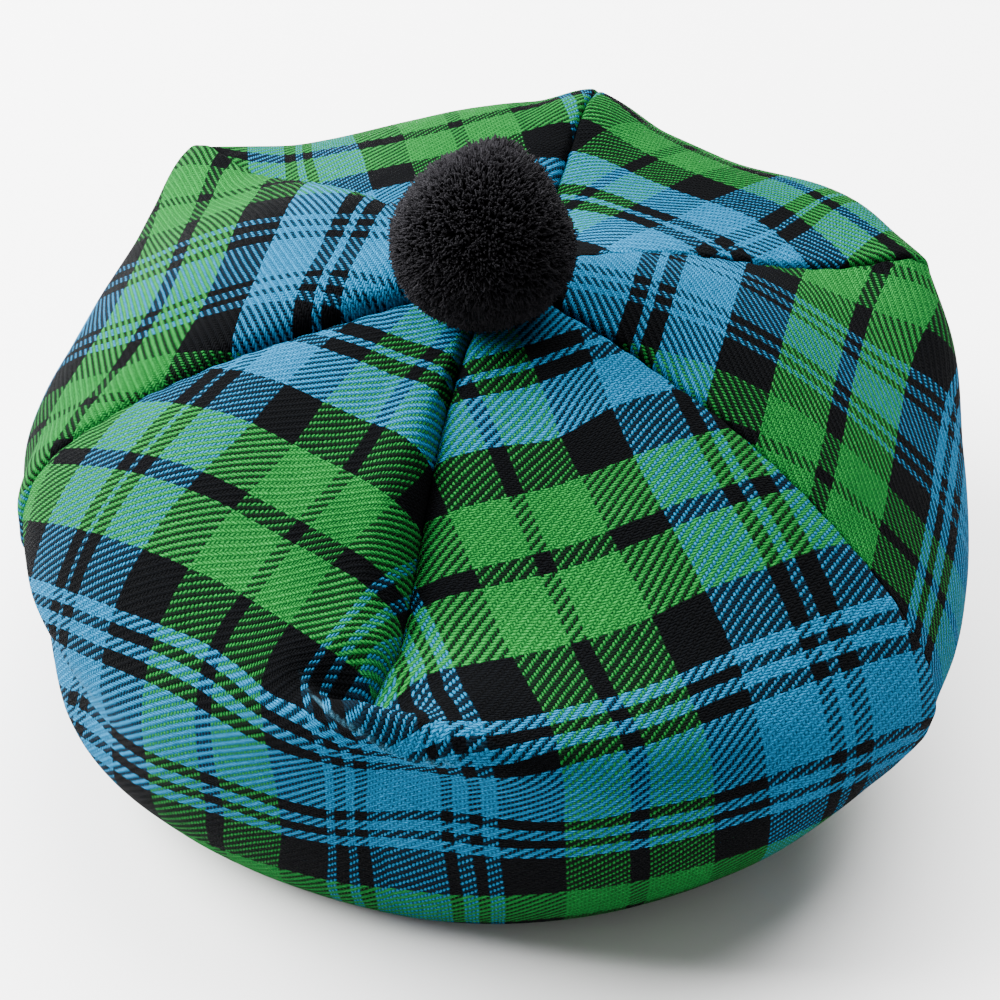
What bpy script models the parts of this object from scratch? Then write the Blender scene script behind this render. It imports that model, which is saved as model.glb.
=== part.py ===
"""A tam o shanter: a puffed crown of cloth sections, a plain head band and a yarn pompom.

The crown's outer face is one smooth surface. It runs from the crown's centre over the rim and back
under to the head band. Each row of SEAMS and SECTIONS gives its radius and heights at five stations
along that path. Units are metres and +Z is up. The hat rests on its head band at z = 0.
"""

import math
from collections import namedtuple

import bmesh
import bpy
import numpy as np
from mathutils import Vector

MM = 0.001

# Driving dimensions
CLOTH_THICKNESS = 1.8 * MM
GAP = 0.3 * MM
CROWN_CENTRE_HEIGHT = 121.0 * MM
BAND_INNER_RADIUS = 90.5 * MM
BAND_THICKNESS = 2.4 * MM
BAND_HEIGHT = 30.0 * MM
BAND_JOIN_HEIGHT = 8.0 * MM
BAND_STEPS = 72
TOORIE_RADIUS = 21.7 * MM
TOORIE_LEAN = Vector((-4.5, -12.0, 0.0)) * MM
TOORIE_RISE = 16.5 * MM
TOORIE_SUBDIVISIONS = 3
LOCK_LENGTH = 1.7 * MM
LOCK_INSET = 0.6 * MM
LOCK_CLEARANCE = 3.0 * MM
SEAT_REACH = 5.0 * MM

# The head opening's middle, placed so that the hat's bounding box is centred on x = y = 0
HAT_CENTRE = Vector((1.65, -0.06, 0.0)) * MM

# Where the stations lie: as a share of the rim radius, and as a share of the path's length
INNER_SHARE = 0.42
SHOULDER_SHARE = 0.80
UNDER_SHARE = 0.87
STATION_PATH = (0.0, 0.28, 0.53, 0.715, 0.86, 1.0)
BEND_END = 0.7
BEND_POWER = 1.5

# How a section stands out between its seams: a high power is flat with steep edges
PUFF_FLATNESS = 2.4
PUFF_EDGE = 0.7

# Cells of each cloth section, across and along. The sections start just off the crown's centre.
CELLS_ACROSS = 10
CELLS_ALONG = 28
FIRST_ALONG = 0.02

# A seam between two sections. Azimuths are degrees counter-clockwise from +X, lengths millimetres.
# bend turns the seam's inner end, in degrees.
Seam = namedtuple("Seam", "name azimuth bend rim_radius inner_z shoulder_z rim_z under_z")
SEAMS = [
    Seam("dart", -102.4, -8.0, 131.0, 102.0, 79.0, 74.5, 9.0),
    Seam("right", -37.8, 0.0, 134.0, 109.0, 84.5, 48.5, 20.0),
    Seam("back_right", 20.4, 6.6, 124.0, 112.5, 99.5, 87.5, 38.5),
    Seam("back", 73.8, 4.5, 135.0, 106.5, 108.5, 54.0, 44.5),
    Seam("back_left", 126.8, 1.2, 148.5, 111.5, 93.5, 77.0, 35.5),
    Seam("left", 190.8, 7.5, 124.5, 108.5, 90.0, 56.0, 9.0),
]

# The cloth between a seam and the next one counter-clockwise: how far its middle stands out past
# the seams, in millimetres.
Section = namedtuple("Section", "name out_rim up_inner up_shoulder up_rim up_under")
SECTIONS = [
    Section("front_right", 3.5, 2.0, 2.5, -2.0, -1.5),
    Section("right", -6.5, 6.5, 1.5, -9.0, -1.0),
    Section("back_right", -5.0, 2.0, 1.5, 7.5, 0.0),
    Section("back", -4.5, 6.0, 2.0, -1.0, -0.5),
    Section("left", -6.5, 10.5, 2.0, -13.0, 8.5),
    Section("front_left", 3.0, 5.0, 10.0, -13.0, -1.0),
]

# A dent or a fold in the cloth. azimuth and half_width are degrees, along and half_length are shares
# of the path, and out is millimetres outward from the cloth.
Fold = namedtuple("Fold", "name azimuth along half_width half_length out")
FOLDS = [
    Fold("dimple", -106.0, 0.60, 7.0, 0.06, -7.0),
    Fold("lip_under_dimple", -104.0, 0.70, 14.0, 0.04, 4.0),
    Fold("left_crease", 203.0, 0.70, 16.0, 0.035, -5.0),
]

# Each piece of the crown, the sections it covers and its material
Piece = namedtuple("Piece", "name sections material")
PIECES = [
    Piece("crown_front", ("front_left", "front_right"), "tartan_front"),
    Piece("gore_right", ("right",), "tartan_right"),
    Piece("gore_back_right", ("back_right",), "tartan_back_right"),
    Piece("gore_back", ("back",), "tartan_back"),
    Piece("gore_left", ("left",), "tartan_left"),
]

# Linear red, green, blue and alpha
TARTAN_COLOUR = (0.035, 0.115, 0.120, 1.0)
YARN_COLOUR = (0.012, 0.012, 0.014, 1.0)
BAND_COLOUR = (0.010, 0.011, 0.014, 1.0)
CLOTH_ROUGHNESS = 0.9
YARN_ROUGHNESS = 0.95


def clear_scene():
    for obj in list(bpy.data.objects):
        bpy.data.objects.remove(obj, do_unlink=True)


def material(name, colour, roughness):
    made = bpy.data.materials.new(name)
    made.use_nodes = True
    shader = made.node_tree.nodes["Principled BSDF"]
    shader.inputs["Base Color"].default_value = colour
    shader.inputs["Roughness"].default_value = roughness
    shader.inputs["Metallic"].default_value = 0.0
    made.diffuse_color = colour
    return made


def finish(name, bm, surface):
    """Turns a closed bmesh into a smooth-shaded object."""
    bmesh.ops.recalc_face_normals(bm, faces=bm.faces)
    mesh = bpy.data.meshes.new(name)
    bm.to_mesh(mesh)
    bm.free()
    for face in mesh.polygons:
        face.use_smooth = True
    mesh.materials.append(surface)
    obj = bpy.data.objects.new(name, mesh)
    bpy.context.scene.collection.objects.link(obj)
    return obj


def natural_spline(knots, values, places):
    """Reads the natural cubic spline through (knots, values) at the given places."""
    knots = np.asarray(knots, float)
    values = np.asarray(values, float)
    steps = np.diff(knots)
    slopes = np.diff(values) / steps
    last = len(knots) - 1
    matrix = np.eye(last + 1)
    target = np.zeros(last + 1)
    for i in range(1, last):
        matrix[i, i - 1 : i + 2] = steps[i - 1], 2 * (steps[i - 1] + steps[i]), steps[i]
        target[i] = 6 * (slopes[i] - slopes[i - 1])
    bends = np.linalg.solve(matrix, target)
    cell = np.clip(np.searchsorted(knots, places, side="right") - 1, 0, last - 1)
    to_end = (knots[cell + 1] - places) / steps[cell]
    from_start = 1 - to_end
    arch = (to_end**3 - to_end) * bends[cell] + (from_start**3 - from_start) * bends[cell + 1]
    straight = to_end * values[cell] + from_start * values[cell + 1]
    return straight + arch * steps[cell] ** 2 / 6


def bump(distance, half_width):
    """1 in the middle, 1/2 at half_width, and 0 from two half widths on."""
    share = np.clip(np.abs(distance) / (2 * half_width), 0, 1)
    return (1 + np.cos(math.pi * share)) / 2


def path_shares():
    return np.linspace(FIRST_ALONG, 1, CELLS_ALONG + 1)


def meridian(index, across, along):
    """One path of a section, from the crown's centre to the band: azimuths, radii and heights,
    and the direction that points out of the cloth, as its radial and vertical shares."""
    seam = SEAMS[index]
    following = SEAMS[(index + 1) % len(SEAMS)]
    section = SECTIONS[index]

    def blend(field):
        return getattr(seam, field) * (1 - across) + getattr(following, field) * across

    off_middle = 2 * across - 1
    arch = 1 - off_middle**2
    puff = (1 - abs(off_middle) ** PUFF_FLATNESS) ** PUFF_EDGE
    rim = (blend("rim_radius") + section.out_rim * arch) * MM
    band_edge = BAND_INNER_RADIUS + BAND_THICKNESS + GAP
    radii = [0.0, INNER_SHARE * rim, SHOULDER_SHARE * rim, rim, UNDER_SHARE * rim, band_edge]
    heights = [
        CROWN_CENTRE_HEIGHT,
        (blend("inner_z") + section.up_inner * puff) * MM,
        (blend("shoulder_z") + section.up_shoulder * puff) * MM,
        (blend("rim_z") + section.up_rim * arch) * MM,
        (blend("under_z") + section.up_under * arch) * MM,
        BAND_JOIN_HEIGHT,
    ]
    radius = natural_spline(STATION_PATH, radii, along)
    height = natural_spline(STATION_PATH, heights, along)
    outward = np.stack([-np.gradient(height, along), np.gradient(radius, along)])
    outward /= np.linalg.norm(outward, axis=0)

    turn = (following.azimuth - seam.azimuth) % 360
    start = seam.azimuth + turn * across
    azimuth = start + blend("bend") * np.clip(1 - along / BEND_END, 0, 1) ** BEND_POWER
    for fold in FOLDS:
        beside = (start - fold.azimuth + 180) % 360 - 180
        out = fold.out * MM * bump(beside, fold.half_width) * bump(along - fold.along, fold.half_length)
        radius = radius + out * outward[0]
        height = height + out * outward[1]
    return np.radians(azimuth), radius, height, outward


def crown_piece(name, sections, surface):
    """A cloth shell over neighbouring sections, with a narrow gap left at each open seam."""
    along = path_shares()
    names = [section.name for section in SECTIONS]
    columns = []
    for place, section_name in enumerate(sections):
        index = names.index(section_name)
        for step in range(0 if place == 0 else 1, CELLS_ACROSS + 1):
            azimuth, radius, height, outward = meridian(index, step / CELLS_ACROSS, along)
            if place == 0 and step == 0:
                azimuth = azimuth + GAP / 2 / radius
            if place == len(sections) - 1 and step == CELLS_ACROSS:
                azimuth = azimuth - GAP / 2 / radius
            columns.append((azimuth, radius, height, outward))

    bm = bmesh.new()
    faces_of_cloth = []
    for depth in (0.0, CLOTH_THICKNESS):
        grid = []
        for azimuth, radius, height, outward in columns:
            r = radius - depth * outward[0]
            z = height - depth * outward[1]
            # The edge at the band stands upright beside it.
            r[-1] = radius[-1]
            z[-1] = height[-1] + depth
            x = r * np.cos(azimuth)
            y = r * np.sin(azimuth)
            points = np.stack([x, y, z], axis=1)
            grid.append([bm.verts.new(Vector(point) + HAT_CENTRE) for point in points])
        faces_of_cloth.append(grid)

    outer, inner = faces_of_cloth
    last = len(along) - 1
    for i in range(len(columns) - 1):
        for j in range(last):
            bm.faces.new((outer[i][j], outer[i][j + 1], outer[i + 1][j + 1], outer[i + 1][j]))
            bm.faces.new((inner[i][j], inner[i + 1][j], inner[i + 1][j + 1], inner[i][j + 1]))
        for j in (0, last):
            bm.faces.new((outer[i][j], outer[i + 1][j], inner[i + 1][j], inner[i][j]))
    for i in (0, len(columns) - 1):
        for j in range(last):
            bm.faces.new((outer[i][j], outer[i][j + 1], inner[i][j + 1], inner[i][j]))
    return finish(name, bm, surface)


def head_band(surface):
    """A plain ring of cloth with a flat lower edge."""
    bm = bmesh.new()
    outer_radius = BAND_INNER_RADIUS + BAND_THICKNESS
    corners = (
        (BAND_INNER_RADIUS, 0.0),
        (outer_radius, 0.0),
        (outer_radius, BAND_HEIGHT),
        (BAND_INNER_RADIUS, BAND_HEIGHT),
    )
    rings = []
    for step in range(BAND_STEPS):
        angle = 2 * math.pi * step / BAND_STEPS
        direction = Vector((math.cos(angle), math.sin(angle), 0.0))
        rings.append([bm.verts.new(direction * r + Vector((0, 0, z)) + HAT_CENTRE) for r, z in corners])
    for step, ring in enumerate(rings):
        following = rings[(step + 1) % BAND_STEPS]
        for k in range(len(corners)):
            m = (k + 1) % len(corners)
            bm.faces.new((ring[k], ring[m], following[m], following[k]))
    made = finish("head_band", bm, surface)
    for face in made.data.polygons:
        face.use_smooth = abs(face.normal.z) < 0.5
    return made


def crown_points():
    """Points spread over the outer face of the crown's inner half."""
    along = path_shares()
    along = along[along < STATION_PATH[2]]
    points = []
    for index in range(len(SECTIONS)):
        for step in range(CELLS_ACROSS + 1):
            azimuth, radius, height, _ = meridian(index, step / CELLS_ACROSS, along)
            points.append(np.stack([radius * np.cos(azimuth), radius * np.sin(azimuth), height]))
    return np.concatenate(points, axis=1)


def toorie(surface):
    """A ball of short locks of yarn fused to a core, seated on the crown's centre."""
    bm = bmesh.new()
    bmesh.ops.create_icosphere(bm, subdivisions=TOORIE_SUBDIVISIONS, radius=TOORIE_RADIUS)
    centre = TOORIE_LEAN + Vector((0.0, 0.0, CROWN_CENTRE_HEIGHT + TOORIE_RISE))
    x, y, z = crown_points()
    seated = set()
    for vert in bm.verts:
        vert.co += centre
        away = np.hypot(x - vert.co.x, y - vert.co.y)
        near = away < max(SEAT_REACH, away.min() + MM)
        floor = z[near].max() + GAP
        if vert.co.z < floor + LOCK_CLEARANCE:
            seated.add(vert)
        vert.co.z = max(vert.co.z, floor)
    locks = [face for face in bm.faces if not seated.intersection(face.verts)]
    bmesh.ops.inset_individual(bm, faces=locks, thickness=LOCK_INSET, depth=LOCK_LENGTH)
    for vert in bm.verts:
        vert.co += HAT_CENTRE
    return finish("toorie", bm, surface)


def main():
    clear_scene()
    for piece in PIECES:
        crown_piece(piece.name, piece.sections, material(piece.material, TARTAN_COLOUR, CLOTH_ROUGHNESS))
    head_band(material("band_cloth", BAND_COLOUR, CLOTH_ROUGHNESS))
    toorie(material("yarn", YARN_COLOUR, YARN_ROUGHNESS))


main()
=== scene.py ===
import itertools
import math
from collections import namedtuple

import bpy
import numpy as np
from mathutils import Euler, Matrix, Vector, noise


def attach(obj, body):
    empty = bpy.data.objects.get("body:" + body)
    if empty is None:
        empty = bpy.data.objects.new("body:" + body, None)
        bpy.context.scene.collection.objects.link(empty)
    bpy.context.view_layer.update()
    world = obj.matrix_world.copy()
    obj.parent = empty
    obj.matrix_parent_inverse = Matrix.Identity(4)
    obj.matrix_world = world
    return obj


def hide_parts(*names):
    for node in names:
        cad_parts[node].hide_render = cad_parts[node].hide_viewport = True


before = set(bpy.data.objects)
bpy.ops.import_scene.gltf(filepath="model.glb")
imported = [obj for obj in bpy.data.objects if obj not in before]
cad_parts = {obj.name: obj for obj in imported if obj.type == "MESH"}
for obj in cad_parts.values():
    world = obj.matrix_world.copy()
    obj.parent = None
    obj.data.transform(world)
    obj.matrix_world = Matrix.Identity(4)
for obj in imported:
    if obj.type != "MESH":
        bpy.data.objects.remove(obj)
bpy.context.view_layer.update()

MM = 0.001

# The hat's form. Its sizes are those of the solids, apart from the cloth, which is 1.8 mm thick there
CLOTH_THICKNESS = 1.5 * MM
GAP = 0.3 * MM
CROWN_CENTRE_HEIGHT = 121.0 * MM
BAND_OUTER_RADIUS = 92.9 * MM
BAND_THICKNESS = 2.4 * MM
BAND_HEIGHT = 30.0 * MM
BAND_JOIN_HEIGHT = 8.0 * MM
HAT_CENTRE = np.array([1.65, -0.06, 0.0]) * MM

# Stations on each path from the crown's centre over the rim to the band: where they are on the
# path, and the radii of the inner, shoulder and under ones as shares of the rim's
STATION_PATH = (0.0, 0.28, 0.53, 0.715, 0.86, 1.0)
INNER_SHARE = 0.42
SHOULDER_SHARE = 0.80
UNDER_SHARE = 0.87

# Seams bend aside near the centre, and each section puffs up between its seams (degrees and mm)
BEND_END = 0.7
BEND_POWER = 1.5
PUFF_FLATNESS = 2.4
PUFF_EDGE = 0.7
Seam = namedtuple("Seam", "name azimuth bend rim_radius inner_z shoulder_z rim_z under_z")
SEAMS = [
    Seam("dart", -102.4, -8.0, 131.0, 102.0, 79.0, 74.5, 9.0),
    Seam("right", -37.8, 0.0, 134.0, 109.0, 84.5, 48.5, 20.0),
    Seam("back_right", 20.4, 6.6, 124.0, 112.5, 99.5, 87.5, 38.5),
    Seam("back", 73.8, 4.5, 135.0, 106.5, 108.5, 54.0, 44.5),
    Seam("back_left", 126.8, 1.2, 148.5, 111.5, 93.5, 77.0, 35.5),
    Seam("left", 190.8, 7.5, 124.5, 108.5, 90.0, 56.0, 9.0),
]
Section = namedtuple("Section", "name out_rim up_inner up_shoulder up_rim up_under")
SECTIONS = [
    Section("front_right", 3.5, 2.0, 2.5, -2.0, -1.5),
    Section("right", -6.5, 6.5, 1.5, -9.0, -1.0),
    Section("back_right", -5.0, 2.0, 1.5, 7.5, 0.0),
    Section("back", -4.5, 6.0, 2.0, -1.0, -0.5),
    Section("left", -6.5, 10.5, 2.0, -13.0, 8.5),
    Section("front_left", 3.0, 5.0, 10.0, -13.0, -1.0),
]

# The cloth: how long a unit of the stripes is along the weft and along the warp, and how many
# threads it holds
ACROSS_UNIT = 0.713 * MM
ALONG_UNIT = 0.870 * MM
WARPS_PER_UNIT = 0.88
WEFTS_PER_UNIT = 1.45

# A thread's height is 1 at its middle, and it waves over and under the others. The warp is narrower
# than the space it has, lies lower, and is painted darker, as shade
TWILL_REPEAT = 4
WARP_MIDDLE = 1.0
WEFT_MIDDLE = 3.0
THREAD_WAVE = 0.9
WARP_SUNK = 0.8
WARP_SHADE = 0.35
WARP_WIDTH = 0.78

# Noise that moves the threads aside: cells per metre, detail, and the shift (threads)
Waver = namedtuple("Waver", "scale detail warp_shift weft_shift")
WAVERS = (Waver(200.0, 2.0, 0.9, -1.2), Waver(1500.0, 1.0, 0.6, -0.9))

# The brightness of the cloth: painted shade, darker where the threads lie low and between them, and
# each kind of unevenness, each times its gain, plus its level
Tone = namedtuple("Tone", "gain level")
PAINTED_GAP_SHADE_POWER = 1.5
PAINTED_GAP_SHADE = Tone(0.63, 0.26)
FIBRE_TONE = Tone(1.6, 0.2)
PATCH_TONE = Tone(0.3, 0.85)
THREAD_TONE = Tone(0.24, 0.88)
FLUFF_TONE = Tone(1.4, -0.2)
FIBRE_SCALE = 2600.0
PATCH_SCALE = 38.0
FIBRE_RELIEF = 0.35
CLOTH_RELIEF = 0.55 * MM

# The azimuth that the warp of each section runs along
GRAINS = {
    "front_right": -67.8,
    "right": -13.9,
    "back_right": 46.0,
    "back": 103.0,
    "left": 163.8,
    "front_left": 234.4,
}

# Where stripes cross in the photo: the warp and the weft unit, counted from a narrow black
# stripe, and the pixel
Crossing = namedtuple("Crossing", "warp weft x y")
CROSSINGS = {
    "front_right": (
        (136, -41, 499, 447), (159, -41, 563, 445), (177, -41, 612, 406), (159, -23, 581, 475),
        (95, 23, 454, 670), (159, 23, 654, 619), (95, 41, 489, 734), (136, 41, 607, 700),
        (139, 57, 650, 748), (79, 79, 450, 807), (139, 79, 652, 802), (177, 79, 766, 776),
        (139, 95, 651, 846), (79, 113, 450, 893), (159, 113, 716, 861),
        (85, 23, 418, 680), (85, 32, 428, 702), (85, 41, 441, 734), (93, 11, 430, 630),
        (68, 32, 392, 728), (68, 41, 403, 749), (68, 57, 416, 768), (68, 79, 414, 808),
        (199, -23, 704, 436), (208, -23, 733, 431), (199, 0, 735, 493), (208, 0, 769, 485),
        (199, 23, 778, 566), (208, 23, 809, 553), (177, 23, 705, 591), (199, 47, 810, 645),
        (208, 47, 842, 635), (199, 55, 822, 672), (208, 55, 852, 660),
    ),
    "right": (
        (32, -32, 749, 364), (104, -32, 774, 276), (0, 0, 827, 475), (32, 0, 838, 422),
        (104, 0, 861, 325), (136, 0, 884, 267), (32, 32, 912, 492), (104, 32, 940, 358),
    ),
    "back_right": (
        (-32, -83, 612, 228), (0, -51, 613, 175), (-71, -32, 798, 231), (-63, -32, 781, 213),
        (-32, -32, 701, 187), (0, -32, 640, 165), (-67, 0, 822, 200), (-32, 0, 757, 172),
        (0, 0, 690, 148), (-51, -32, 752, 203), (-32, -13, 738, 177), (-51, 0, 795, 184),
        (-32, -51, 672, 203), (-32, -71, 640, 220), (-51, -51, 718, 218), (-41, -93, 605, 250),
    ),
    "back": (
        (104, -32, 552, 135), (168, -32, 393, 176), (240, -5, 228, 160), (104, 0, 538, 106),
        (136, 0, 455, 125), (168, 0, 386, 141), (186, 0, 335, 150),
    ),
    "left": (
        (68, -71, 351, 254), (104, -63, 302, 325), (32, -32, 265, 207), (104, -32, 212, 329),
        (68, -32, 238, 266), (0, 0, 204, 199), (68, 0, 168, 290), (104, 0, 127, 356),
        (136, 0, 88, 401), (32, 32, 131, 254), (68, 32, 100, 315), (104, 32, 62, 375),
        (-30, 0, 224, 158),
    ),
    "front_left": (
        (-23, -41, 321, 401), (-41, -23, 254, 424), (3, -23, 360, 479), (32, 0, 355, 563),
        (-23, 3, 230, 508), (3, 3, 300, 547), (-3, 23, 243, 600), (-32, 32, 147, 588),
        (0, 32, 232, 619), (32, 32, 287, 665), (3, 95, 225, 815), (23, 95, 280, 834),
        (3, 113, 228, 852), (41, 113, 325, 880), (57, 113, 380, 890), (43, 23, 324, 652),
        (43, 32, 307, 674), (43, 41, 311, 699), (51, 32, 327, 679), (57, 32, 346, 694),
        (51, 23, 340, 666), (57, 23, 353, 683),
        (65, 23, 373, 703), (63, 41, 389, 747), (65, 57, 408, 768), (66, 79, 409, 808),
    ),
}
CROSSING_SLACK = 0.02
NEAREST = 4
PIN_UNITS = 100
PHOTO_SIZE = 1000

# Below the dart the cloth is one piece, so the threads of both sides are eased to meet there
DART_REACH = 17.0
DART_EASE = 0.05

# The dart's low end leans aside into the dimple (degrees)
Lean = namedtuple("Lean", "azimuth along half_width half_length turn")
DART_LEAN = Lean(-102.4, 0.615, 9.0, 0.055, -2.2)

# Half of the tartan's repeat, from the middle of the wide blue stripe: colours and widths in units
SETT = (
    ("blue", 11), ("black", 4), ("blue", 4), ("black", 4), ("blue", 4), ("black", 18),
    ("green", 20), ("black", 6), ("green", 20), ("black", 18), ("blue", 19), ("black", 5),
    ("blue", 2),
)
SETT_START = 68.0

# The dyes, the colour of worn fluff, and how far neighbouring threads tint each other
DYES = {
    "blue": (0.0075, 0.128, 0.264),
    "green": (0.0088, 0.131, 0.0215),
    "black": (0.0012, 0.0015, 0.0021),
}
BAND_DYE = (0.0070, 0.0075, 0.0090, 1.0)
FLUFF = (0.045, 0.145, 0.215, 1.0)
HAZE = 0.08

# Each piece of the crown: its sections, the solid it replaces, its material slot, and the width
# and length (mm) of the rectangle that it is cut from
Piece = namedtuple("Piece", "name sections node slot width length")
PIECES = [
    Piece(
        "crown_front_cloth", ("front_left", "front_right"), "crown_front", "tartan_front", 300, 212
    ),
    Piece("gore_right_cloth", ("right",), "gore_right", "tartan_right", 131, 216),
    Piece(
        "gore_back_right_cloth", ("back_right",), "gore_back_right", "tartan_back_right", 121, 208
    ),
    Piece("gore_back_cloth", ("back",), "gore_back", "tartan_back", 130, 214),
    Piece("gore_left_cloth", ("left",), "gore_left", "tartan_left", 152, 216),
]

# The mesh of a section: cells across it and along it, how far they crowd towards the seams, and
# where its paths start
CELLS_ACROSS = 100
CELLS_ALONG = 214
CROWDING = 0.75
FIRST_ALONG = 0.012

# Beside each seam the cloth rolls down to the stitches, on each side by its own radius (mm), and
# one edge may stand higher than the other (mm)
Roll = namedtuple("Roll", "seam before after lift_before lift_after")
ROLLS = [
    Roll("dart", 3.5, 2.0, 2.4, 0.4),
    Roll("right", 1.8, 1.2, 0.8, -0.4),
    Roll("back_right", 0.8, 2.0, -0.6, 0.6),
    Roll("back", 1.6, 1.6, 0.3, 0.6),
    Roll("back_left", 1.2, 2.0, -0.6, 1.6),
    Roll("left", 2.4, 1.8, 1.8, 0.2),
]
ROLL_EASE = 12.0 * MM
ROLL_SHARE = 0.12
LIFT_PLACE = 6.0 * MM
LIFT_REACH = 7.0 * MM
LIFT_FULL_WIDTH = 60.0 * MM
PUCKER_DEPTH = 0.22 * MM
PUCKER_LENGTH = 9.0 * MM
PUCKER_REACH = 9.0 * MM
PATH_LENGTH = 215.0 * MM
DART_END = 0.61
DART_FADE = 0.03

# Soft unevenness of handled cloth: its depth and its size
SWELLS = ((0.7 * MM, 45.0 * MM), (0.22 * MM, 15.0 * MM))

# Folds, seams and unevenness fade out within this radius of the crown's centre, and over this last
# share of the path at the band
CALM_RADIUS = 16.0 * MM
CALM_END = 0.05

# Rounded folds and dents, and sharper creases that curve with the azimuth, out from the cloth (mm)
Fold = namedtuple("Fold", "name azimuth along half_width half_length out")
FOLDS = [
    Fold("dimple", 257.4, 0.600, 5.5, 0.034, -10.0),
    Fold("shelf_under_dimple", 262.0, 0.672, 11.0, 0.026, 3.0),
    Fold("under_ridge", 262.0, 0.735, 12.0, 0.020, -2.0),
    Fold("left_crease", 209.0, 0.737, 12.0, 0.026, -6.0),
    Fold("left_bulge", 217.0, 0.795, 13.0, 0.040, 2.4),
    Fold("left_rim_swell", 172.0, 0.680, 9.0, 0.080, 1.9),
    Fold("corner_f", 128.0, 0.650, 6.5, 0.080, 4.0),
    Fold("right_rim_swell", 11.5, 0.670, 7.0, 0.080, 1.8),
    Fold("top_right_swell", 37.0, 0.625, 9.0, 0.080, 3.8),
    Fold("back_swell", 96.0, 0.500, 20.0, 0.080, 1.5),
    Fold("corner_e", 73.0, 0.500, 5.5, 0.080, 3.2),
    Fold("front_foot", 270.0, 0.810, 55.0, 0.090, 1.2),
    Fold("left_of_dart", 249.0, 0.420, 9.0, 0.170, 4.0),
    Fold("right_of_dart", 268.0, 0.420, 10.0, 0.170, 2.0),
    Fold("dart_valley", 257.6, 0.420, 4.0, 0.170, -2.8),
]
Crease = namedtuple("Crease", "name azimuth along tilt sag half_span half_width out")
CREASES = [
    Crease("worn_ridge", 259.5, 0.695, 0.0028, -0.0006, 5.5, 0.006, 3.2),
    Crease("left_lip", 203.0, 0.720, -0.0004, 0.0, 14.0, 0.010, 1.2),
]
WEAR_REACH = 0.0015

# The head band's mesh, the hollow of its faces, its thin butt seam at the back, and its ripples
BAND_STEPS = 540
BAND_EDGE_STEPS = 9
BAND_FACE_STEPS = 12
BAND_HOLLOW = 0.35 * MM
BUTT_AZIMUTH = math.pi / 2
BUTT_THINNING = 0.45
BUTT_REACH = 0.9 * MM
BAND_RIPPLE = 0.15 * MM
BAND_RIPPLES = 9

# Its topstitching: the length of a stitch with its space, the share that the thread fills, the
# rows' heights, and the thread's girth along a stitch
STITCH_LENGTH = 3.2 * MM
STITCH_SHARE = 0.72
STITCH_HEIGHTS = (4.2 * MM, 26.0 * MM)
STITCH_RADIUS = 0.3 * MM
STITCH_SUNK = 0.15 * MM
STITCH_SIDES = 6
STITCH_GIRTHS = ((-0.50, 0.0), (-0.44, 0.7), (-0.25, 1.0), (0.25, 1.0), (0.44, 0.7), (0.50, 0.0))

# The pompom and its core, in which the strands are rooted
TOORIE_CENTRE = np.array([-4.2, -12.0, 138.8]) * MM
TOORIE_RADIUS = 22.9 * MM
CORE_SHARE = 0.80
CORE_ROWS = 40
CORE_RINGS = 56
ROOT_SHARE = 0.06

# Its strands of yarn: their number, size and unevenness, the few that stick out, and their girth
# at the root, the middle and the cut tip
STRANDS = 14500
STRAND_RADIUS = 0.36 * MM
STRAND_SIDES = 3
STRAND_GIRTHS = (0.8, 1.0, 0.62)
STRAND_SCATTER = 0.012
STRAND_TILT = 0.22
STRAND_BEND = 0.09
STRAND_STRAY = 0.014
LONG_STRAND_SHARE = 0.05
LONG_STRAND_REACH = 0.05
STRAND_ASIDE = (0.3, 0.5, 0.81)

# Yarn near the crown lies on the cloth
SEAT_BAND = 4.0 * MM
SEAT_CLEARANCE = 0.6 * MM
SEAT_RADIUS = 45.0 * MM
SEAT_HEIGHT = 80.0 * MM

# Lumps in the cut yarn: their depth as a share of the radius, and how many there are
LUMPS = ((0.022, 3.1), (0.016, 9.0))

# Where the cut yarn stands out or lies in, by direction from the pompom's centre (degrees)
Tuft = namedtuple("Tuft", "azimuth elevation half_width out")
TUFTS = [
    Tuft(-90.0, 85.0, 16.0, 0.03),
    Tuft(150.0, 50.0, 26.0, -0.10),
    Tuft(19.0, 24.0, 24.0, -0.10),
    Tuft(66.0, 51.0, 14.0, 0.05),
    Tuft(171.0, 12.0, 24.0, -0.06),
    Tuft(-50.0, -5.0, 30.0, 0.05),
    Tuft(-140.0, -5.0, 26.0, 0.02),
    Tuft(172.0, 0.0, 6.0, 0.05),
    Tuft(60.0, 62.0, 5.0, 0.05),
    Tuft(-90.0, 20.0, 30.0, -0.02),
]

# The photo's view: where the camera stands, how far it looks down, and its lens
CAMERA_PLACE = Vector((1.65, -616.7, 512.8)) * MM
CAMERA_PITCH = -36.94
CAMERA_YAW = 0.02
LENS = 104.4
SENSOR = 36.0

# The studio: square soft lights, an even sky and a pale floor
Lamp = namedtuple("Lamp", "name place size watts")
LAMPS = (
    Lamp("key", (-1.3, 0.3, 1.1), 1.3, 238.0),
    Lamp("top", (0.35, 1.0, 1.75), 2.0, 238.0),
)
LAMP_AIM = Vector((0, 0, 0.06))
SKY_STRENGTH = 0.39
FLOOR_REACH = 6.0
FLOOR_COLOUR = (0.80, 0.80, 0.80, 1)


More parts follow.
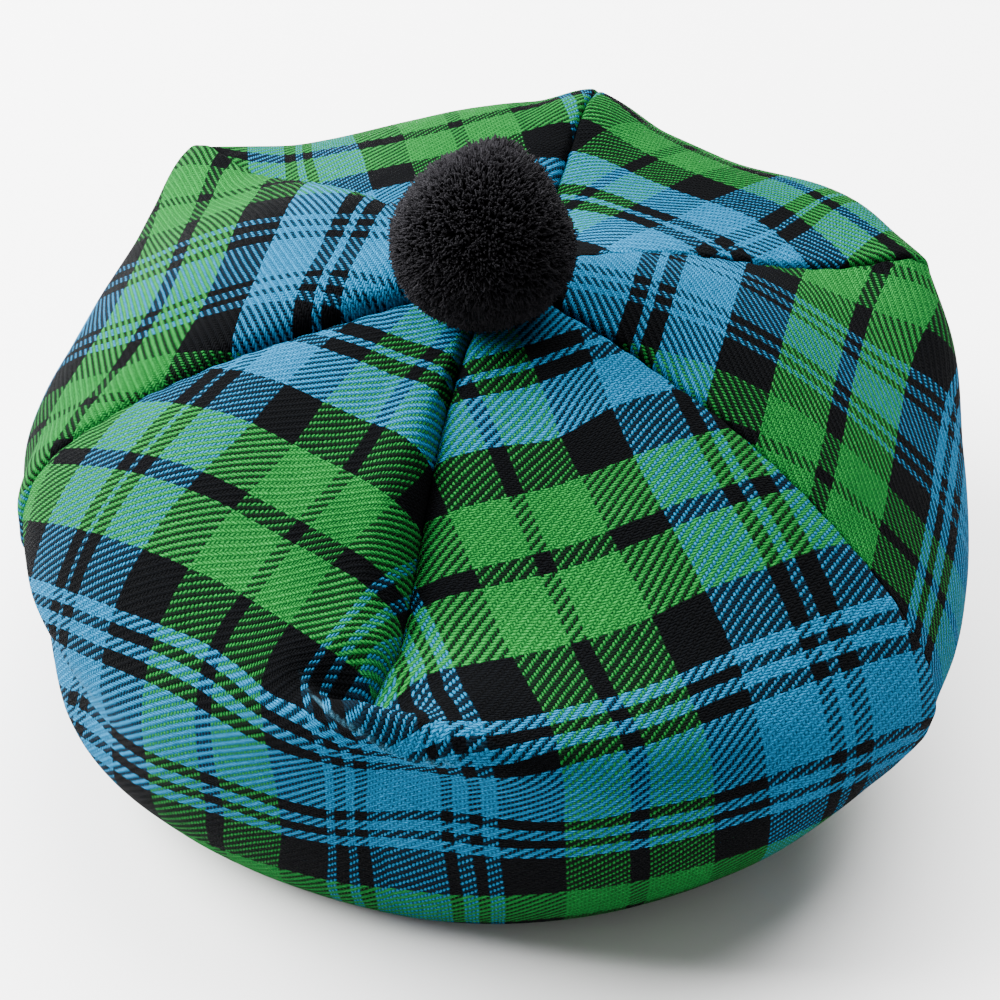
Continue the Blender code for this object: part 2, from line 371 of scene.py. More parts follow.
def natural_spline(knots, values, places):
    """Reads the natural cubic spline through (knots, values) at the given places."""
    knots = np.asarray(knots, float)
    values = np.asarray(values, float)
    steps = np.diff(knots)
    slopes = np.diff(values) / steps
    last = len(knots) - 1
    matrix = np.eye(last + 1)
    target = np.zeros(last + 1)
    for i in range(1, last):
        matrix[i, i - 1 : i + 2] = steps[i - 1], 2 * (steps[i - 1] + steps[i]), steps[i]
        target[i] = 6 * (slopes[i] - slopes[i - 1])
    bends = np.linalg.solve(matrix, target)
    cell = np.clip(np.searchsorted(knots, places, side="right") - 1, 0, last - 1)
    to_end = (knots[cell + 1] - places) / steps[cell]
    from_start = 1 - to_end
    arch = (to_end**3 - to_end) * bends[cell] + (from_start**3 - from_start) * bends[cell + 1]
    straight = to_end * values[cell] + from_start * values[cell + 1]
    return straight + arch * steps[cell] ** 2 / 6


def bump(distance, half_width):
    """1 in the middle, 1/2 at half_width, and 0 from two half widths on."""
    share = np.clip(np.abs(distance) / (2 * half_width), 0, 1)
    return (1 + np.cos(math.pi * share)) / 2


def wrapped(degrees):
    """The same angle between -180 and 180 degrees."""
    return (degrees + 180) % 360 - 180


def section_form(index, across, along):
    """The bare form of one section: seam azimuths, azimuths, radii and heights, as grids that run
    across the section and along its paths."""
    seam = SEAMS[index]
    following = SEAMS[(index + 1) % len(SEAMS)]
    section = SECTIONS[index]
    stations = np.eye(len(STATION_PATH))
    weights = np.stack([natural_spline(STATION_PATH, row, along) for row in stations])

    def blend(field):
        return getattr(seam, field) * (1 - across) + getattr(following, field) * across

    off_middle = 2 * across - 1
    arch = 1 - off_middle**2
    puff = (1 - np.abs(off_middle) ** PUFF_FLATNESS) ** PUFF_EDGE
    rim = (blend("rim_radius") + section.out_rim * arch) * MM
    same = np.ones_like(across)
    radii = [0 * same, INNER_SHARE * rim, SHOULDER_SHARE * rim, rim, UNDER_SHARE * rim]
    radii.append(same * (BAND_OUTER_RADIUS + GAP))
    heights = [
        same * CROWN_CENTRE_HEIGHT,
        (blend("inner_z") + section.up_inner * puff) * MM,
        (blend("shoulder_z") + section.up_shoulder * puff) * MM,
        (blend("rim_z") + section.up_rim * arch) * MM,
        (blend("under_z") + section.up_under * arch) * MM,
        same * BAND_JOIN_HEIGHT,
    ]
    radius = np.stack(radii, axis=1) @ weights
    height = np.stack(heights, axis=1) @ weights
    turn = (following.azimuth - seam.azimuth) % 360
    start = seam.azimuth + turn * across
    bend = np.clip(1 - along / BEND_END, 0, 1) ** BEND_POWER
    azimuth = start[:, None] + blend("bend")[:, None] * bend[None, :]
    return start, azimuth, radius, height


def flat_threads(grain, start, azimuth, radius, height):
    """Lays flat cloth on a section, path by path: the warp and the weft unit of each point."""
    turn = np.radians(wrapped(start - grain))[:, None]
    angle = np.radians(azimuth)
    points = np.stack([radius * np.cos(angle), radius * np.sin(angle), height], axis=2)
    step = np.linalg.norm(np.diff(points, axis=1), axis=2)
    spread = np.clip(np.diff(radius, axis=1) / step, -1, 1)
    aside = np.concatenate([np.sin(turn) * radius[:, :1], np.sin(turn * spread) * step], axis=1)
    onward = np.concatenate([np.cos(turn) * radius[:, :1], np.cos(turn * spread) * step], axis=1)
    return np.cumsum(aside, axis=1) / ACROSS_UNIT, np.cumsum(onward, axis=1) / ALONG_UNIT


def in_photo(points):
    """Where points of the hat fall in the photo, in pixels, and which of them face the camera."""
    pitch = math.radians(CAMERA_PITCH)
    forward = np.array([0, math.cos(pitch), math.sin(pitch)])
    upward = np.array([0, -math.sin(pitch), math.cos(pitch)])
    away = points - np.array(CAMERA_PLACE)
    scale = LENS / SENSOR * PHOTO_SIZE / (away @ forward)
    x = PHOTO_SIZE / 2 + away[..., 0] * scale
    y = PHOTO_SIZE / 2 - (away @ upward) * scale
    x_across, x_along = np.gradient(x)
    y_across, y_along = np.gradient(y)
    return x, y, x_across * y_along - x_along * y_across > 0


def thin_plate(first, second):
    """The bending of a thin plate at the first places when it is pushed at the second ones."""
    squared = ((first[:, None] - second[None]) ** 2).sum(axis=2)
    return squared * np.log(np.maximum(squared, 1e-12)) / 2


def pinned_threads(name, warp, weft, outer):
    """Shifts and eases a section's flat threads so that its stripes cross where they should."""
    x, y, facing = in_photo(outer)
    flat = np.stack([warp, weft], axis=2) / PIN_UNITS
    seen = flat[facing]
    pins = []
    shifts = []
    for crossing in itertools.starmap(Crossing, CROSSINGS[name]):
        away = np.hypot(x[facing] - crossing.x, y[facing] - crossing.y)
        nearest = np.argsort(away)[:NEAREST]
        pin = np.average(seen[nearest], axis=0, weights=1 / (1 + away[nearest]))
        pins.append(pin)
        shifts.append(np.array([crossing.warp, crossing.weft]) - pin * PIN_UNITS)
    pins = np.array(pins)
    level = np.column_stack([np.ones(len(pins)), pins])
    stiff = thin_plate(pins, pins) + CROSSING_SLACK * np.eye(len(pins))
    system = np.block([[stiff, level], [level.T, np.zeros((3, 3))]])
    solved = np.linalg.solve(system, np.vstack([shifts, np.zeros((3, 2))]))
    places = flat.reshape(-1, 2)
    bent = thin_plate(places, pins) @ solved[: len(pins)]
    tilted = np.column_stack([np.ones(len(places)), places]) @ solved[len(pins) :]
    shift = (bent + tilted).reshape(flat.shape)
    return warp + shift[..., 0], weft + shift[..., 1]


def rolled_edge(distance, radius):
    """Cloth that rolls down to a seam: how far it moves towards the seam, and how far it drops."""
    quarter = math.pi / 2 * radius
    turned = np.clip(distance / np.maximum(radius, 1e-9), 0, math.pi / 2)
    taken = (math.pi / 2 - 1) * radius * np.exp(-np.maximum(distance - quarter, 0) / ROLL_EASE)
    on_roll = distance < quarter
    moved = np.where(on_roll, distance - radius * (1 - np.cos(turned)), taken)
    return moved, np.where(on_roll, radius * (1 - np.sin(turned)), 0)


def swell_at(points):
    """Soft unevenness of handled cloth."""
    total = np.zeros(len(points))
    for depth, size in SWELLS:
        total += depth * np.array([noise.noise(Vector(point / size)) for point in points])
    return total


def folds_at(azimuth, along):
    """How far the folds and creases push the cloth out, and how worn it is on the creases."""
    out = np.zeros((len(azimuth), len(along)))
    wear = np.zeros_like(out)
    for fold in FOLDS:
        beside = wrapped(azimuth - fold.azimuth)[:, None]
        lengthwise = bump(along - fold.along, fold.half_length)
        out += fold.out * MM * bump(beside, fold.half_width) * lengthwise
    for crease in CREASES:
        beside = wrapped(azimuth - crease.azimuth)[:, None]
        off = along - crease.along - crease.tilt * beside - crease.sag * beside**2
        span = bump(beside, crease.half_span)
        out += crease.out * MM * span * np.exp(-np.abs(off) / crease.half_width)
        wear += np.minimum(2 * span, 1) * np.exp(-((off / WEAR_REACH) ** 2))
    return out, wear


def smooth_mesh(name, verts, faces):
    """A smooth-shaded mesh."""
    mesh = bpy.data.meshes.new(name)
    mesh.from_pydata(verts.tolist(), [], faces)
    mesh.polygons.foreach_set("use_smooth", [True] * len(faces))
    mesh.update()
    return mesh


def link(name, data):
    """A new object in the scene that shows the given data."""
    obj = bpy.data.objects.new(name, data)
    bpy.context.scene.collection.objects.link(obj)
    return obj


# A section's outer and inner points, the azimuths and places of its paths, and its threads and wear
Cloth = namedtuple("Cloth", "outer inner start along warp weft wear")


def section_cloth(name):
    """The finished outer and inner faces of one section, and its thread places."""
    names = [section.name for section in SECTIONS]
    index = names.index(name)
    even = np.linspace(0, 1, CELLS_ACROSS + 1)
    across = even - CROWDING * np.sin(2 * math.pi * even) / (2 * math.pi)
    along = np.linspace(FIRST_ALONG, 1, CELLS_ALONG + 1)
    start, azimuth, radius, height = section_form(index, across, along)
    width = np.radians(start[-1] - start[0]) * radius
    raised, wear = folds_at(start, along)
    sides = ((across, index, "after", 1), (1 - across, (index + 1) % len(SEAMS), "before", -1))

    # Both edges roll down to their seams, and part by a gap where pieces meet
    for share, seam, side, way in sides:
        roll = ROLLS[seam]
        distance = share[:, None] * width
        held = np.ones(len(along))
        if roll.seam == "dart":
            held = np.clip((DART_END - along) / DART_FADE, 0, 1)
        roll_radius = np.minimum(getattr(roll, side) * MM, ROLL_SHARE * width) * held
        moved, drop = rolled_edge(distance, roll_radius)
        azimuth -= way * np.degrees(moved / radius)
        lift = getattr(roll, "lift_" + side) * MM * held * np.minimum(width / LIFT_FULL_WIDTH, 1)
        raised += lift * bump(distance - LIFT_PLACE, LIFT_REACH)
        pucker = np.sin(2 * math.pi * along * PATH_LENGTH / PUCKER_LENGTH + seam)
        raised += held * PUCKER_DEPTH * pucker * np.exp(-distance / PUCKER_REACH)
        raised -= drop
        piece_edge = np.zeros(len(across))
        piece_edge[0 if way > 0 else -1] = way
        if roll.seam != "dart":
            azimuth += piece_edge[:, None] * np.degrees(GAP / 2 / radius)

    beside = wrapped(start - DART_LEAN.azimuth)[:, None]
    lengthwise = bump(along - DART_LEAN.along, DART_LEAN.half_length)
    azimuth += DART_LEAN.turn * bump(beside, DART_LEAN.half_width) * lengthwise
    angle = np.radians(azimuth)
    points = np.stack([radius * np.cos(angle), radius * np.sin(angle), height], axis=2)
    swell = swell_at(points.reshape(-1, 3)).reshape(radius.shape)
    raised += swell
    raised *= np.clip(radius / CALM_RADIUS, 0, 1) * np.clip((1 - along) / CALM_END, 0, 1)
    slope = np.stack([-np.gradient(height, axis=1), np.gradient(radius, axis=1)], axis=2)
    slope /= np.linalg.norm(slope, axis=2, keepdims=True)
    aside, upward = slope[..., 0], slope[..., 1]
    outward = np.stack([aside * np.cos(angle), aside * np.sin(angle), upward], axis=2)
    outer = points + outward * raised[:, :, None]
    inner = outer - outward * CLOTH_THICKNESS
    outer += HAT_CENTRE
    inner += HAT_CENTRE
    warp, weft = flat_threads(GRAINS[name], start, azimuth, radius, height)
    warp, weft = pinned_threads(name, warp, weft, outer)
    return Cloth(outer, inner, start, along, warp, weft, wear)


def ease_below_dart(before, after):
    """Makes the threads of the two front sections meet where no dart parts them."""
    below = np.clip((before.along - DART_END) / DART_EASE, 0, 1)
    for mine, theirs in ((before.warp, after.warp), (before.weft, after.weft)):
        gap = theirs[0] - mine[-1]
        for field, cloth, share in ((mine, before, 0.5), (theirs, after, -0.5)):
            near = np.exp(-((wrapped(cloth.start - SEAMS[0].azimuth) / DART_REACH) ** 2))
            field += near[:, None] * below * share * gap


def joined(cloths, field):
    """A field of neighbouring sections, with the path that they share kept once."""
    first, *others = (getattr(cloth, field) for cloth in cloths)
    return np.concatenate([first] + [other[1:] for other in others])


def cloth_piece(piece, cloths):
    """A closed shell of cloth over one section or two, with its threads as UVs."""
    faces = []
    uvs = []
    stride = CELLS_ALONG + 1
    outer = joined(cloths, "outer")
    inner = joined(cloths, "inner")
    count = len(outer)
    verts = np.concatenate([outer.reshape(-1, 3), inner.reshape(-1, 3)])
    below = count * stride

    def add(corners, section, places):
        """A face, and for each corner the path and the place on it whose threads it takes."""
        cloth = cloths[section]
        faces.append(corners)
        uvs.extend((cloth.warp[i, j], cloth.weft[i, j]) for i, j in places)

    for column in range(count - 1):
        section, i = divmod(column, CELLS_ACROSS)
        for j in range(CELLS_ALONG):
            a = column * stride + j
            b = a + stride
            add((a, a + 1, b + 1, b), section, ((i, j), (i, j + 1), (i + 1, j + 1), (i + 1, j)))
            c = a + below
            d = b + below
            add((c, d, d + 1, c + 1), section, ((i, j), (i + 1, j), (i + 1, j + 1), (i, j + 1)))
        for j, flip in ((0, False), (CELLS_ALONG, True)):
            a = column * stride + j
            b = a + stride
            corners = (a, b, b + below, a + below)
            places = ((i, j), (i + 1, j), (i + 1, j), (i, j))
            add(corners[::-1] if flip else corners, section, places)
    for column, flip in ((0, True), (count - 1, False)):
        section = 0 if column == 0 else len(cloths) - 1
        i = 0 if column == 0 else CELLS_ACROSS
        for j in range(CELLS_ALONG):
            a = column * stride + j
            corners = (a, a + 1, a + 1 + below, a + below)
            add(corners[::-1] if flip else corners, section, [(i, j)] * 4)

    mesh = smooth_mesh(piece.name, verts, faces)
    layer = mesh.uv_layers.new(name="threads")
    layer.data.foreach_set("uv", np.asarray(uvs, np.float32).ravel())
    wear = np.tile(joined(cloths, "wear").ravel(), 2)
    mesh.attributes.new("wear", "FLOAT", "POINT").data.foreach_set("value", wear)
    return link(piece.name, mesh)


class Nodes:
    """Short names for building a material's nodes."""

    def __init__(self, name):
        self.material = bpy.data.materials.new(name)
        self.material.use_nodes = True
        self.tree = self.material.node_tree
        self.shader = self.tree.nodes["Principled BSDF"]

    def add(self, kind, **settings):
        node = self.tree.nodes.new(kind)
        for key, value in settings.items():
            setattr(node, key, value)
        return node

    def join(self, value, socket):
        if isinstance(value, bpy.types.NodeSocket):
            self.tree.links.new(value, socket)
        else:
            socket.default_value = value

    def math(self, operation, *values):
        node = self.add("ShaderNodeMath", operation=operation)
        for value, socket in zip(values, node.inputs):
            self.join(value, socket)
        return node.outputs[0]

    def mix(self, factor, first, second, blend_type="MIX"):
        node = self.add("ShaderNodeMix", data_type="RGBA", blend_type=blend_type)
        self.join(factor, node.inputs[0])
        self.join(first, node.inputs[6])
        self.join(second, node.inputs[7])
        return node.outputs[2]

    def noise(self, vector, scale, detail=2.0):
        node = self.add("ShaderNodeTexNoise")
        self.join(vector, node.inputs["Vector"])
        self.join(scale, node.inputs["Scale"])
        self.join(detail, node.inputs["Detail"])
        return node.outputs[0]

    def object_place(self):
        return self.add("ShaderNodeTexCoord").outputs["Object"]

    def bump(self, height, distance):
        node = self.add("ShaderNodeBump")
        self.join(1.0, node.inputs["Strength"])
        self.join(distance, node.inputs["Distance"])
        self.join(height, node.inputs["Height"])
        self.tree.links.new(node.outputs[0], self.shader.inputs["Normal"])


def sett_colour(nodes, place):
    """The dye of the thread at a place in the tartan's repeat."""
    half = sum(count for _, count in SETT)
    shifted = nodes.math("ADD", place, half - SETT_START)
    repeat = nodes.math("FLOORED_MODULO", shifted, 2.0 * half)
    from_pivot = nodes.math("ABSOLUTE", nodes.math("SUBTRACT", repeat, half))
    share = nodes.math("DIVIDE", from_pivot, half)
    ramp = nodes.add("ShaderNodeValToRGB")
    ramp.color_ramp.interpolation = "CONSTANT"
    nodes.join(share, ramp.inputs[0])
    reached = 0
    stops = ramp.color_ramp.elements
    while len(stops) > 1:
        stops.remove(stops[-1])
    for number, (dye, count) in enumerate(SETT):
        stop = stops[0] if number == 0 else stops.new(reached / half)
        stop.position = reached / half
        stop.color = (*DYES[dye], 1.0)
        reached += count
    return ramp.outputs[0]


def twill(name, plain=None):
    """Wool twill, whose warp and weft floats are rounded threads, striped or in one plain dye."""
    nodes = Nodes(name)
    uv = nodes.add("ShaderNodeUVMap", uv_map="threads")
    split = nodes.add("ShaderNodeSeparateXYZ")
    nodes.join(uv.outputs[0], split.inputs[0])
    place = nodes.object_place()
    p = nodes.math("MULTIPLY", split.outputs[0], WARPS_PER_UNIT)
    q = nodes.math("MULTIPLY", split.outputs[1], WEFTS_PER_UNIT)
    for waver in WAVERS:
        aside = nodes.math("SUBTRACT", nodes.noise(place, waver.scale, waver.detail), 0.5)
        p = nodes.math("MULTIPLY_ADD", aside, waver.warp_shift, p)
        q = nodes.math("MULTIPLY_ADD", aside, waver.weft_shift, q)
    warp = nodes.math("FLOOR", p)
    weft = nodes.math("FLOOR", q)

    def thread_height(side, width, travelled, middle):
        """A round thread that waves over and under the others."""
        edge = nodes.math("MULTIPLY_ADD", nodes.math("FRACT", side), 2.0 / width, -1.0 / width)
        rise = nodes.math("SUBTRACT", 1.0, nodes.math("MULTIPLY", edge, edge))
        round_side = nodes.math("SQRT", nodes.math("MAXIMUM", rise, 0.0))
        from_middle = nodes.math("SUBTRACT", travelled, middle)
        angle = nodes.math("MULTIPLY", from_middle, 2 * math.pi / TWILL_REPEAT)
        return nodes.math("MULTIPLY_ADD", nodes.math("COSINE", angle), THREAD_WAVE, round_side)

    warp_height = thread_height(p, WARP_WIDTH, nodes.math("ADD", warp, q), WARP_MIDDLE)
    weft_height = thread_height(q, 1.0, nodes.math("ADD", p, weft), WEFT_MIDDLE)
    sunk_height = nodes.math("SUBTRACT", warp_height, WARP_SUNK)
    on_top = nodes.math("GREATER_THAN", sunk_height, weft_height)
    warp_height = nodes.math("SUBTRACT", warp_height, WARP_SHADE)
    above = nodes.math("SUBTRACT", warp_height, weft_height)
    height = nodes.math("MULTIPLY_ADD", on_top, above, weft_height)
    height = nodes.math("DIVIDE", height, 1.0 + THREAD_WAVE)

    warp_place = nodes.math("DIVIDE", nodes.math("ADD", warp, 0.5), WARPS_PER_UNIT)
    warp_dye = sett_colour(nodes, warp_place)
    weft_place = nodes.math("DIVIDE", nodes.math("ADD", weft, 0.5), WEFTS_PER_UNIT)
    weft_dye = sett_colour(nodes, weft_place)
    both = nodes.mix(0.5, weft_dye, warp_dye)
    dye = nodes.mix(HAZE, nodes.mix(on_top, weft_dye, warp_dye), both) if plain is None else plain

    fibre = nodes.noise(place, FIBRE_SCALE, 3.0)
    patch = nodes.noise(place, PATCH_SCALE, 3.0)
    each = nodes.add("ShaderNodeTexWhiteNoise", noise_dimensions="2D")
    thread = nodes.add("ShaderNodeCombineXYZ")
    nodes.join(nodes.math("ADD", warp, nodes.math("MULTIPLY", on_top, 0.5)), thread.inputs[0])
    nodes.join(weft, thread.inputs[1])
    nodes.join(thread.outputs[0], each.inputs["Vector"])
    # Painted shade: the cloth is darker where the threads lie low, in the gaps between them and on
    # the sunk warp
    light = nodes.math("POWER", nodes.math("MAXIMUM", height, 0.0), PAINTED_GAP_SHADE_POWER)
    light = nodes.math("MULTIPLY_ADD", light, *PAINTED_GAP_SHADE)
    for kind, tone in ((fibre, FIBRE_TONE), (patch, PATCH_TONE), (each.outputs[0], THREAD_TONE)):
        light = nodes.math("MULTIPLY", light, nodes.math("MULTIPLY_ADD", kind, *tone))
    colour = nodes.mix(1.0, dye, light, "MULTIPLY")
    wear = nodes.add("ShaderNodeAttribute", attribute_name="wear")
    fluffy = nodes.math("MULTIPLY_ADD", fibre, *FLUFF_TONE)
    colour = nodes.mix(nodes.math("MULTIPLY", wear.outputs[2], fluffy), colour, FLUFF)
    nodes.join(colour, nodes.shader.inputs["Base Color"])
    nodes.bump(nodes.math("MULTIPLY_ADD", fibre, FIBRE_RELIEF, height), CLOTH_RELIEF)
    nodes.shader.inputs["Roughness"].default_value = 0.9
    nodes.shader.inputs["Specular IOR Level"].default_value = 0.015
    nodes.shader.inputs["Sheen Weight"].default_value = 0.003
    nodes.shader.inputs["Sheen Roughness"].default_value = 0.6
    return nodes.material


def stitch_thread():
    """Waxed black sewing thread, laid in two plies."""
    nodes = Nodes("band_thread")
    place = nodes.object_place()
    ply = nodes.noise(place, 2400.0, 2.0)
    worn = nodes.noise(place, 90.0, 2.0)
    tone = nodes.math("MULTIPLY_ADD", ply, 0.6, nodes.math("MULTIPLY", worn, 0.5))
    colour = nodes.mix(tone, (0.002, 0.002, 0.003, 1.0), (0.012, 0.012, 0.014, 1.0))
    nodes.join(colour, nodes.shader.inputs["Base Color"])
    nodes.bump(ply, 0.15 * MM)
    nodes.shader.inputs["Roughness"].default_value = 0.6
    nodes.shader.inputs["Specular IOR Level"].default_value = 0.25
    return nodes.material


def yarn():
    """Black acrylic yarn with a faint brown-grey gloss on its fibres, painted into its colour as
    lighter specks.
    """
    nodes = Nodes("toorie_yarn")
    place = nodes.object_place()
    fibre = nodes.noise(place, 1500.0, 4.0)
    clump = nodes.noise(place, 260.0, 2.0)
    # Painted highlight: where the noises meet, fibres are lighter, for the gloss on them
    tone = nodes.math("MULTIPLY", fibre, clump)
    colour = nodes.mix(tone, (0.0010, 0.0010, 0.0014, 1.0), (0.0260, 0.0245, 0.0290, 1.0))
    nodes.join(colour, nodes.shader.inputs["Base Color"])
    nodes.bump(fibre, 0.4 * MM)
    nodes.shader.inputs["Roughness"].default_value = 0.75
    nodes.shader.inputs["Specular IOR Level"].default_value = 0.05
    return nodes.material


def crown_height(seat, x, y):
    """The crown's height under a point near its centre."""
    away = np.hypot(seat[:, 0] - x, seat[:, 1] - y)
    return seat[away.argmin(), 2]


def direction(azimuth, elevation):
    """The unit vector of a direction given in radians."""
    flat = math.cos(elevation)
    return np.array([flat * math.cos(azimuth), flat * math.sin(azimuth), math.sin(elevation)])


def tufted(way):
    """How far the yarn reaches in a direction, as a share of the pompom's radius."""
    reach = 1
    for depth, number in LUMPS:
        reach += depth * noise.noise(Vector(way * number))
    for tuft in TUFTS:
        middle = direction(math.radians(tuft.azimuth), math.radians(tuft.elevation))
        apart = math.degrees(math.acos(min(1.0, max(-1.0, float(way @ middle)))))
        reach += tuft.out * float(bump(apart, tuft.half_width))
    return reach


def toorie_core():
    """The lumpy ball inside the pompom, as vertices and faces."""
    verts = []
    faces = []
    for i in range(CORE_ROWS + 1):
        polar = math.pi * i / CORE_ROWS
        for j in range(CORE_RINGS):
            around = 2 * math.pi * j / CORE_RINGS
            flat = math.sin(polar)
            way = np.array([flat * math.cos(around), flat * math.sin(around), math.cos(polar)])
            verts.append(TOORIE_CENTRE + way * TOORIE_RADIUS * CORE_SHARE * tufted(way))
    for i in range(CORE_ROWS):
        for j in range(CORE_RINGS):
            here = i * CORE_RINGS
            below = here + CORE_RINGS
            k = (j + 1) % CORE_RINGS
            faces.append((here + j, below + j, below + k, here + k))
    return verts, faces


def strand_points(rng, way):
    """The root, middle and tip of a strand that leaves the core in a direction, and two vectors
    square to it."""
    aside = np.cross(way, STRAND_ASIDE)
    aside /= np.linalg.norm(aside)
    other = np.cross(way, aside)
    tilt = rng.normal(0, STRAND_TILT, 2)
    reach = tufted(way)
    stray = STRAND_STRAY * rng.normal()
    if rng.random() < LONG_STRAND_SHARE:
        stray += LONG_STRAND_REACH * rng.random()
    root = TOORIE_CENTRE + way * TOORIE_RADIUS * (CORE_SHARE - ROOT_SHARE) * reach
    tip = TOORIE_CENTRE + way * TOORIE_RADIUS * (reach + stray)
    length = np.linalg.norm(tip - root)
    tip = tip + (aside * tilt[0] + other * tilt[1]) * length
    bend = aside * rng.normal(0, STRAND_BEND) + other * rng.normal(0, STRAND_BEND)
    return (root, (root + tip) / 2 + bend * length, tip), aside, other


def toorie(seat):
    """A ball of cut yarn: a lumpy core and many short strands that stand out of it."""
    rng = np.random.default_rng(11)
    verts, faces = toorie_core()
    golden = math.pi * (3 - math.sqrt(5))
    for number in range(STRANDS):
        rise = 1 - 2 * (number + 0.5) / STRANDS
        flat = math.sqrt(1 - rise * rise)
        around = golden * number
        way = np.array([flat * math.cos(around), flat * math.sin(around), rise])
        way += rng.normal(0, STRAND_SCATTER, 3)
        way /= np.linalg.norm(way)
        points, aside, other = strand_points(rng, way)
        first = len(verts)
        for point, girth in zip(points, STRAND_GIRTHS):
            for side in range(STRAND_SIDES):
                angle = 2 * math.pi * side / STRAND_SIDES + number
                spoke = aside * math.cos(angle) + other * math.sin(angle)
                verts.append(point + spoke * STRAND_RADIUS * girth)
        for ring in range(2):
            for side in range(STRAND_SIDES):
                following = (side + 1) % STRAND_SIDES
                a = first + ring * STRAND_SIDES
                b = a + STRAND_SIDES
                faces.append((a + side, a + following, b + following, b + side))
        cap = first + 2 * STRAND_SIDES
        faces.append(tuple(cap + side for side in range(STRAND_SIDES)))

    verts = np.array(verts) + HAT_CENTRE
    low = verts[:, 2] < CROWN_CENTRE_HEIGHT + SEAT_BAND
    for number in np.nonzero(low)[0]:
        floor = crown_height(seat, verts[number, 0], verts[number, 1]) + SEAT_CLEARANCE
        verts[number, 2] = max(verts[number, 2], floor)
    return link("toorie_pompom", smooth_mesh("toorie_pompom", verts, faces))


def band_profile():
    """The rounded section of the band: places out from its middle and up from its lower edge."""
    half = BAND_THICKNESS / 2
    turn = np.linspace(0, math.pi, BAND_EDGE_STEPS)
    rise = np.linspace(half, BAND_HEIGHT - half, BAND_FACE_STEPS)[1:-1]
    face = half - BAND_HOLLOW * np.sin(math.pi * rise / BAND_HEIGHT) ** 2
    upper = BAND_HEIGHT - half + half * np.sin(turn)
    out = np.concatenate([-half * np.cos(turn), face, half * np.cos(turn), -face])
    up = np.concatenate([half - half * np.sin(turn), rise, upper, rise[::-1]])
    return out, up


def add_stitches(verts, faces, middle):
    """Rows of stitches on both faces of the band, each a short capsule half sunk in the cloth."""
    stitches = int(2 * math.pi * middle / STITCH_LENGTH)
    rows = itertools.product(STITCH_HEIGHTS, (-1, 1), range(stitches))
    for height, side, number in rows:
        first = len(verts)
        face = middle + side * (BAND_THICKNESS / 2 - STITCH_SUNK)
        for shift, share in STITCH_GIRTHS:
            angle = 2 * math.pi * (number + STITCH_SHARE * shift) / stitches
            for corner in range(STITCH_SIDES):
                about = 2 * math.pi * corner / STITCH_SIDES
                radius = face + STITCH_RADIUS * share * math.cos(about)
                level = height + STITCH_RADIUS * share * math.sin(about)
                verts.append((radius * math.cos(angle), radius * math.sin(angle), level))
        for ring in range(len(STITCH_GIRTHS) - 1):
            for corner in range(STITCH_SIDES):
                a = first + ring * STITCH_SIDES + corner
                b = first + ring * STITCH_SIDES + (corner + 1) % STITCH_SIDES
                faces.append((a, b, b + STITCH_SIDES, a + STITCH_SIDES))


def head_band():
    """A strip of plain cloth round the head opening, butted at the back and topstitched along
    both edges."""
    middle = BAND_OUTER_RADIUS - BAND_THICKNESS / 2
    out, up = band_profile()
    count = len(out)
    path = np.concatenate([[0], np.cumsum(np.hypot(np.diff(out), np.diff(up)))]) / ALONG_UNIT
    last_step = BAND_HEIGHT / BAND_FACE_STEPS / ALONG_UNIT
    verts = []
    for step in range(BAND_STEPS):
        angle = 2 * math.pi * step / BAND_STEPS
        from_butt = abs(math.remainder(angle - BUTT_AZIMUTH, 2 * math.pi)) * middle
        thick = 1 - BUTT_THINNING * math.exp(-((from_butt / BUTT_REACH) ** 2))
        ripple = BAND_RIPPLE * math.sin(BAND_RIPPLES * angle) * np.sin(math.pi * up / BAND_HEIGHT)
        radius = middle + out * thick - np.abs(ripple)
        verts.extend(zip(radius * math.cos(angle), radius * math.sin(angle), up))
    round_unit = middle * 2 * math.pi / BAND_STEPS / ACROSS_UNIT
    faces = []
    uvs = []
    for step in range(BAND_STEPS):
        here = step * count
        following = (step + 1) % BAND_STEPS * count
        for k in range(count):
            m = (k + 1) % count
            faces.append((here + k, here + m, following + m, following + k))
            near, far = path[k], path[m] if m else path[k] + last_step
            uvs.extend([(step * round_unit, near), (step * round_unit, far)])
            uvs.extend([((step + 1) * round_unit, far), ((step + 1) * round_unit, near)])
    cloth_faces = len(faces)
    add_stitches(verts, faces, middle)
    stitch_faces = len(faces) - cloth_faces
    uvs.extend([(0.0, 0.0)] * (4 * stitch_faces))

    mesh = smooth_mesh("head_band_cloth", np.array(verts) + HAT_CENTRE, faces)
    layer = mesh.uv_layers.new(name="threads")
    layer.data.foreach_set("uv", np.asarray(uvs, np.float32).ravel())
    mesh.materials.append(twill("band_twill", BAND_DYE))
    mesh.materials.append(stitch_thread())
    mesh.polygons.foreach_set("material_index", [0] * cloth_faces + [1] * stitch_faces)
    return link("head_band_cloth", mesh)


def add_lamp(lamp):
    """A square soft light that looks at the hat."""
    data = bpy.data.lights.new(lamp.name, "AREA")
    data.size = lamp.size
    data.energy = lamp.watts
    light = link(lamp.name, data)
    light.location = lamp.place
    aim = LAMP_AIM - Vector(lamp.place)
    light.rotation_euler = aim.to_track_quat("-Z", "Y").to_euler()


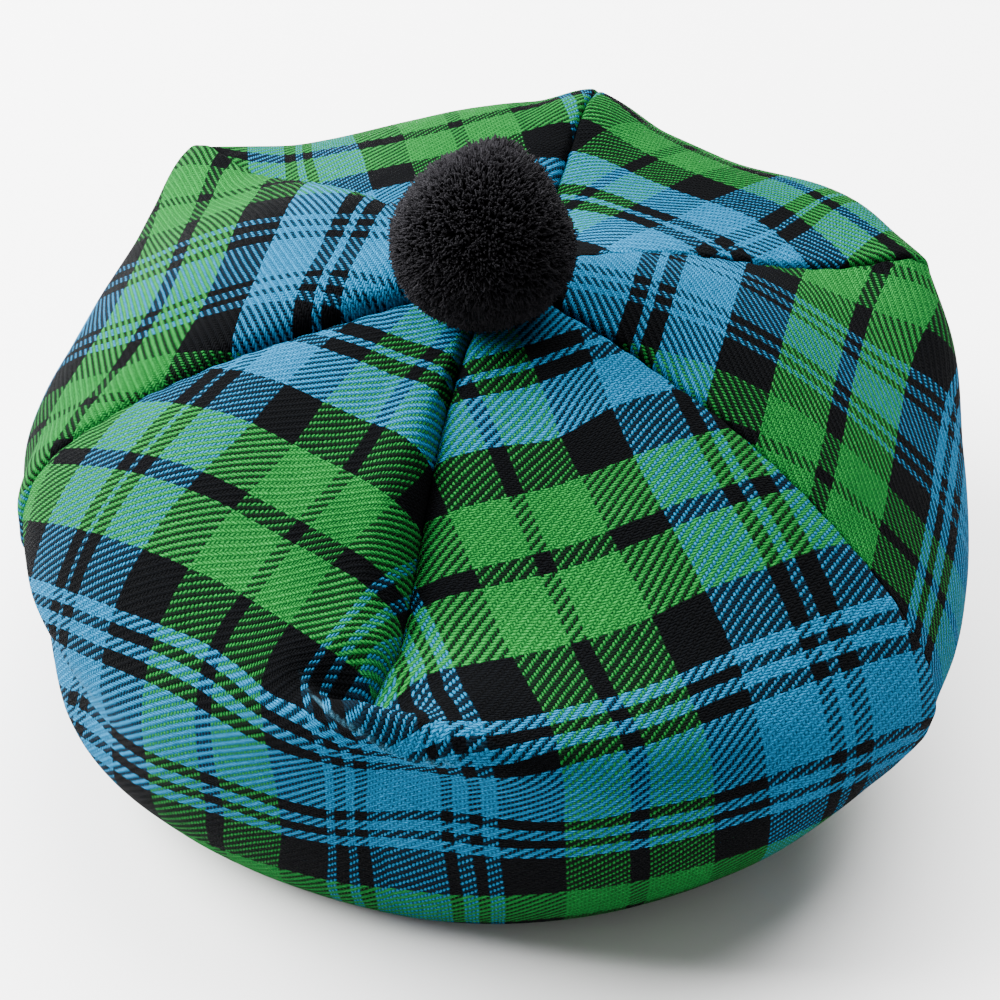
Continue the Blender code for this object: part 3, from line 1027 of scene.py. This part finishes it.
def studio():
    """The floor, the lights and the camera."""
    floor_mesh = bpy.data.meshes.new("floor")
    reach = FLOOR_REACH
    corners = [(-reach, -reach, 0), (reach, -reach, 0), (reach, reach, 0), (-reach, reach, 0)]
    floor_mesh.from_pydata(corners, [], [(0, 1, 2, 3)])
    floor = link("floor", floor_mesh)
    paper = Nodes("floor_paper")
    paper.shader.inputs["Base Color"].default_value = FLOOR_COLOUR
    paper.shader.inputs["Roughness"].default_value = 0.9
    floor_mesh.materials.append(paper.material)

    world = bpy.data.worlds.new("studio")
    world.use_nodes = True
    sky = world.node_tree.nodes["Background"]
    sky.inputs[0].default_value = (1.0, 1.0, 1.0, 1)
    sky.inputs[1].default_value = SKY_STRENGTH
    bpy.context.scene.world = world
    for lamp in LAMPS:
        add_lamp(lamp)

    data = bpy.data.cameras.new("camera")
    data.lens = LENS
    data.sensor_width = SENSOR
    data.clip_start = 0.01
    camera = link("camera", data)
    camera.location = CAMERA_PLACE
    camera.rotation_euler = Euler((math.radians(90 + CAMERA_PITCH), 0, math.radians(-CAMERA_YAW)))
    bpy.context.scene.camera = camera


def near_centre(obj):
    """The points of a piece of the crown on which the pompom may sit."""
    points = np.empty(len(obj.data.vertices) * 3)
    obj.data.vertices.foreach_get("co", points)
    points = points.reshape(-1, 3)
    near = np.hypot(points[:, 0], points[:, 1]) < SEAT_RADIUS
    return points[near & (points[:, 2] > SEAT_HEIGHT)]


def main():
    cloth = twill("tartan_twill")
    band = head_band()
    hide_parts("head_band")
    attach(band, "root")
    seats = []
    cloths = {section.name: section_cloth(section.name) for section in SECTIONS}
    ease_below_dart(cloths["front_left"], cloths["front_right"])
    for piece in PIECES:
        obj = cloth_piece(piece, [cloths[name] for name in piece.sections])
        obj.data.materials.append(cloth)
        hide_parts(piece.node)
        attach(obj, "root")
        seats.append(near_centre(obj))
    pompom = toorie(np.concatenate(seats))
    pompom.data.materials.append(yarn())
    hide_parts("toorie")
    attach(pompom, "root")
    studio()


main()
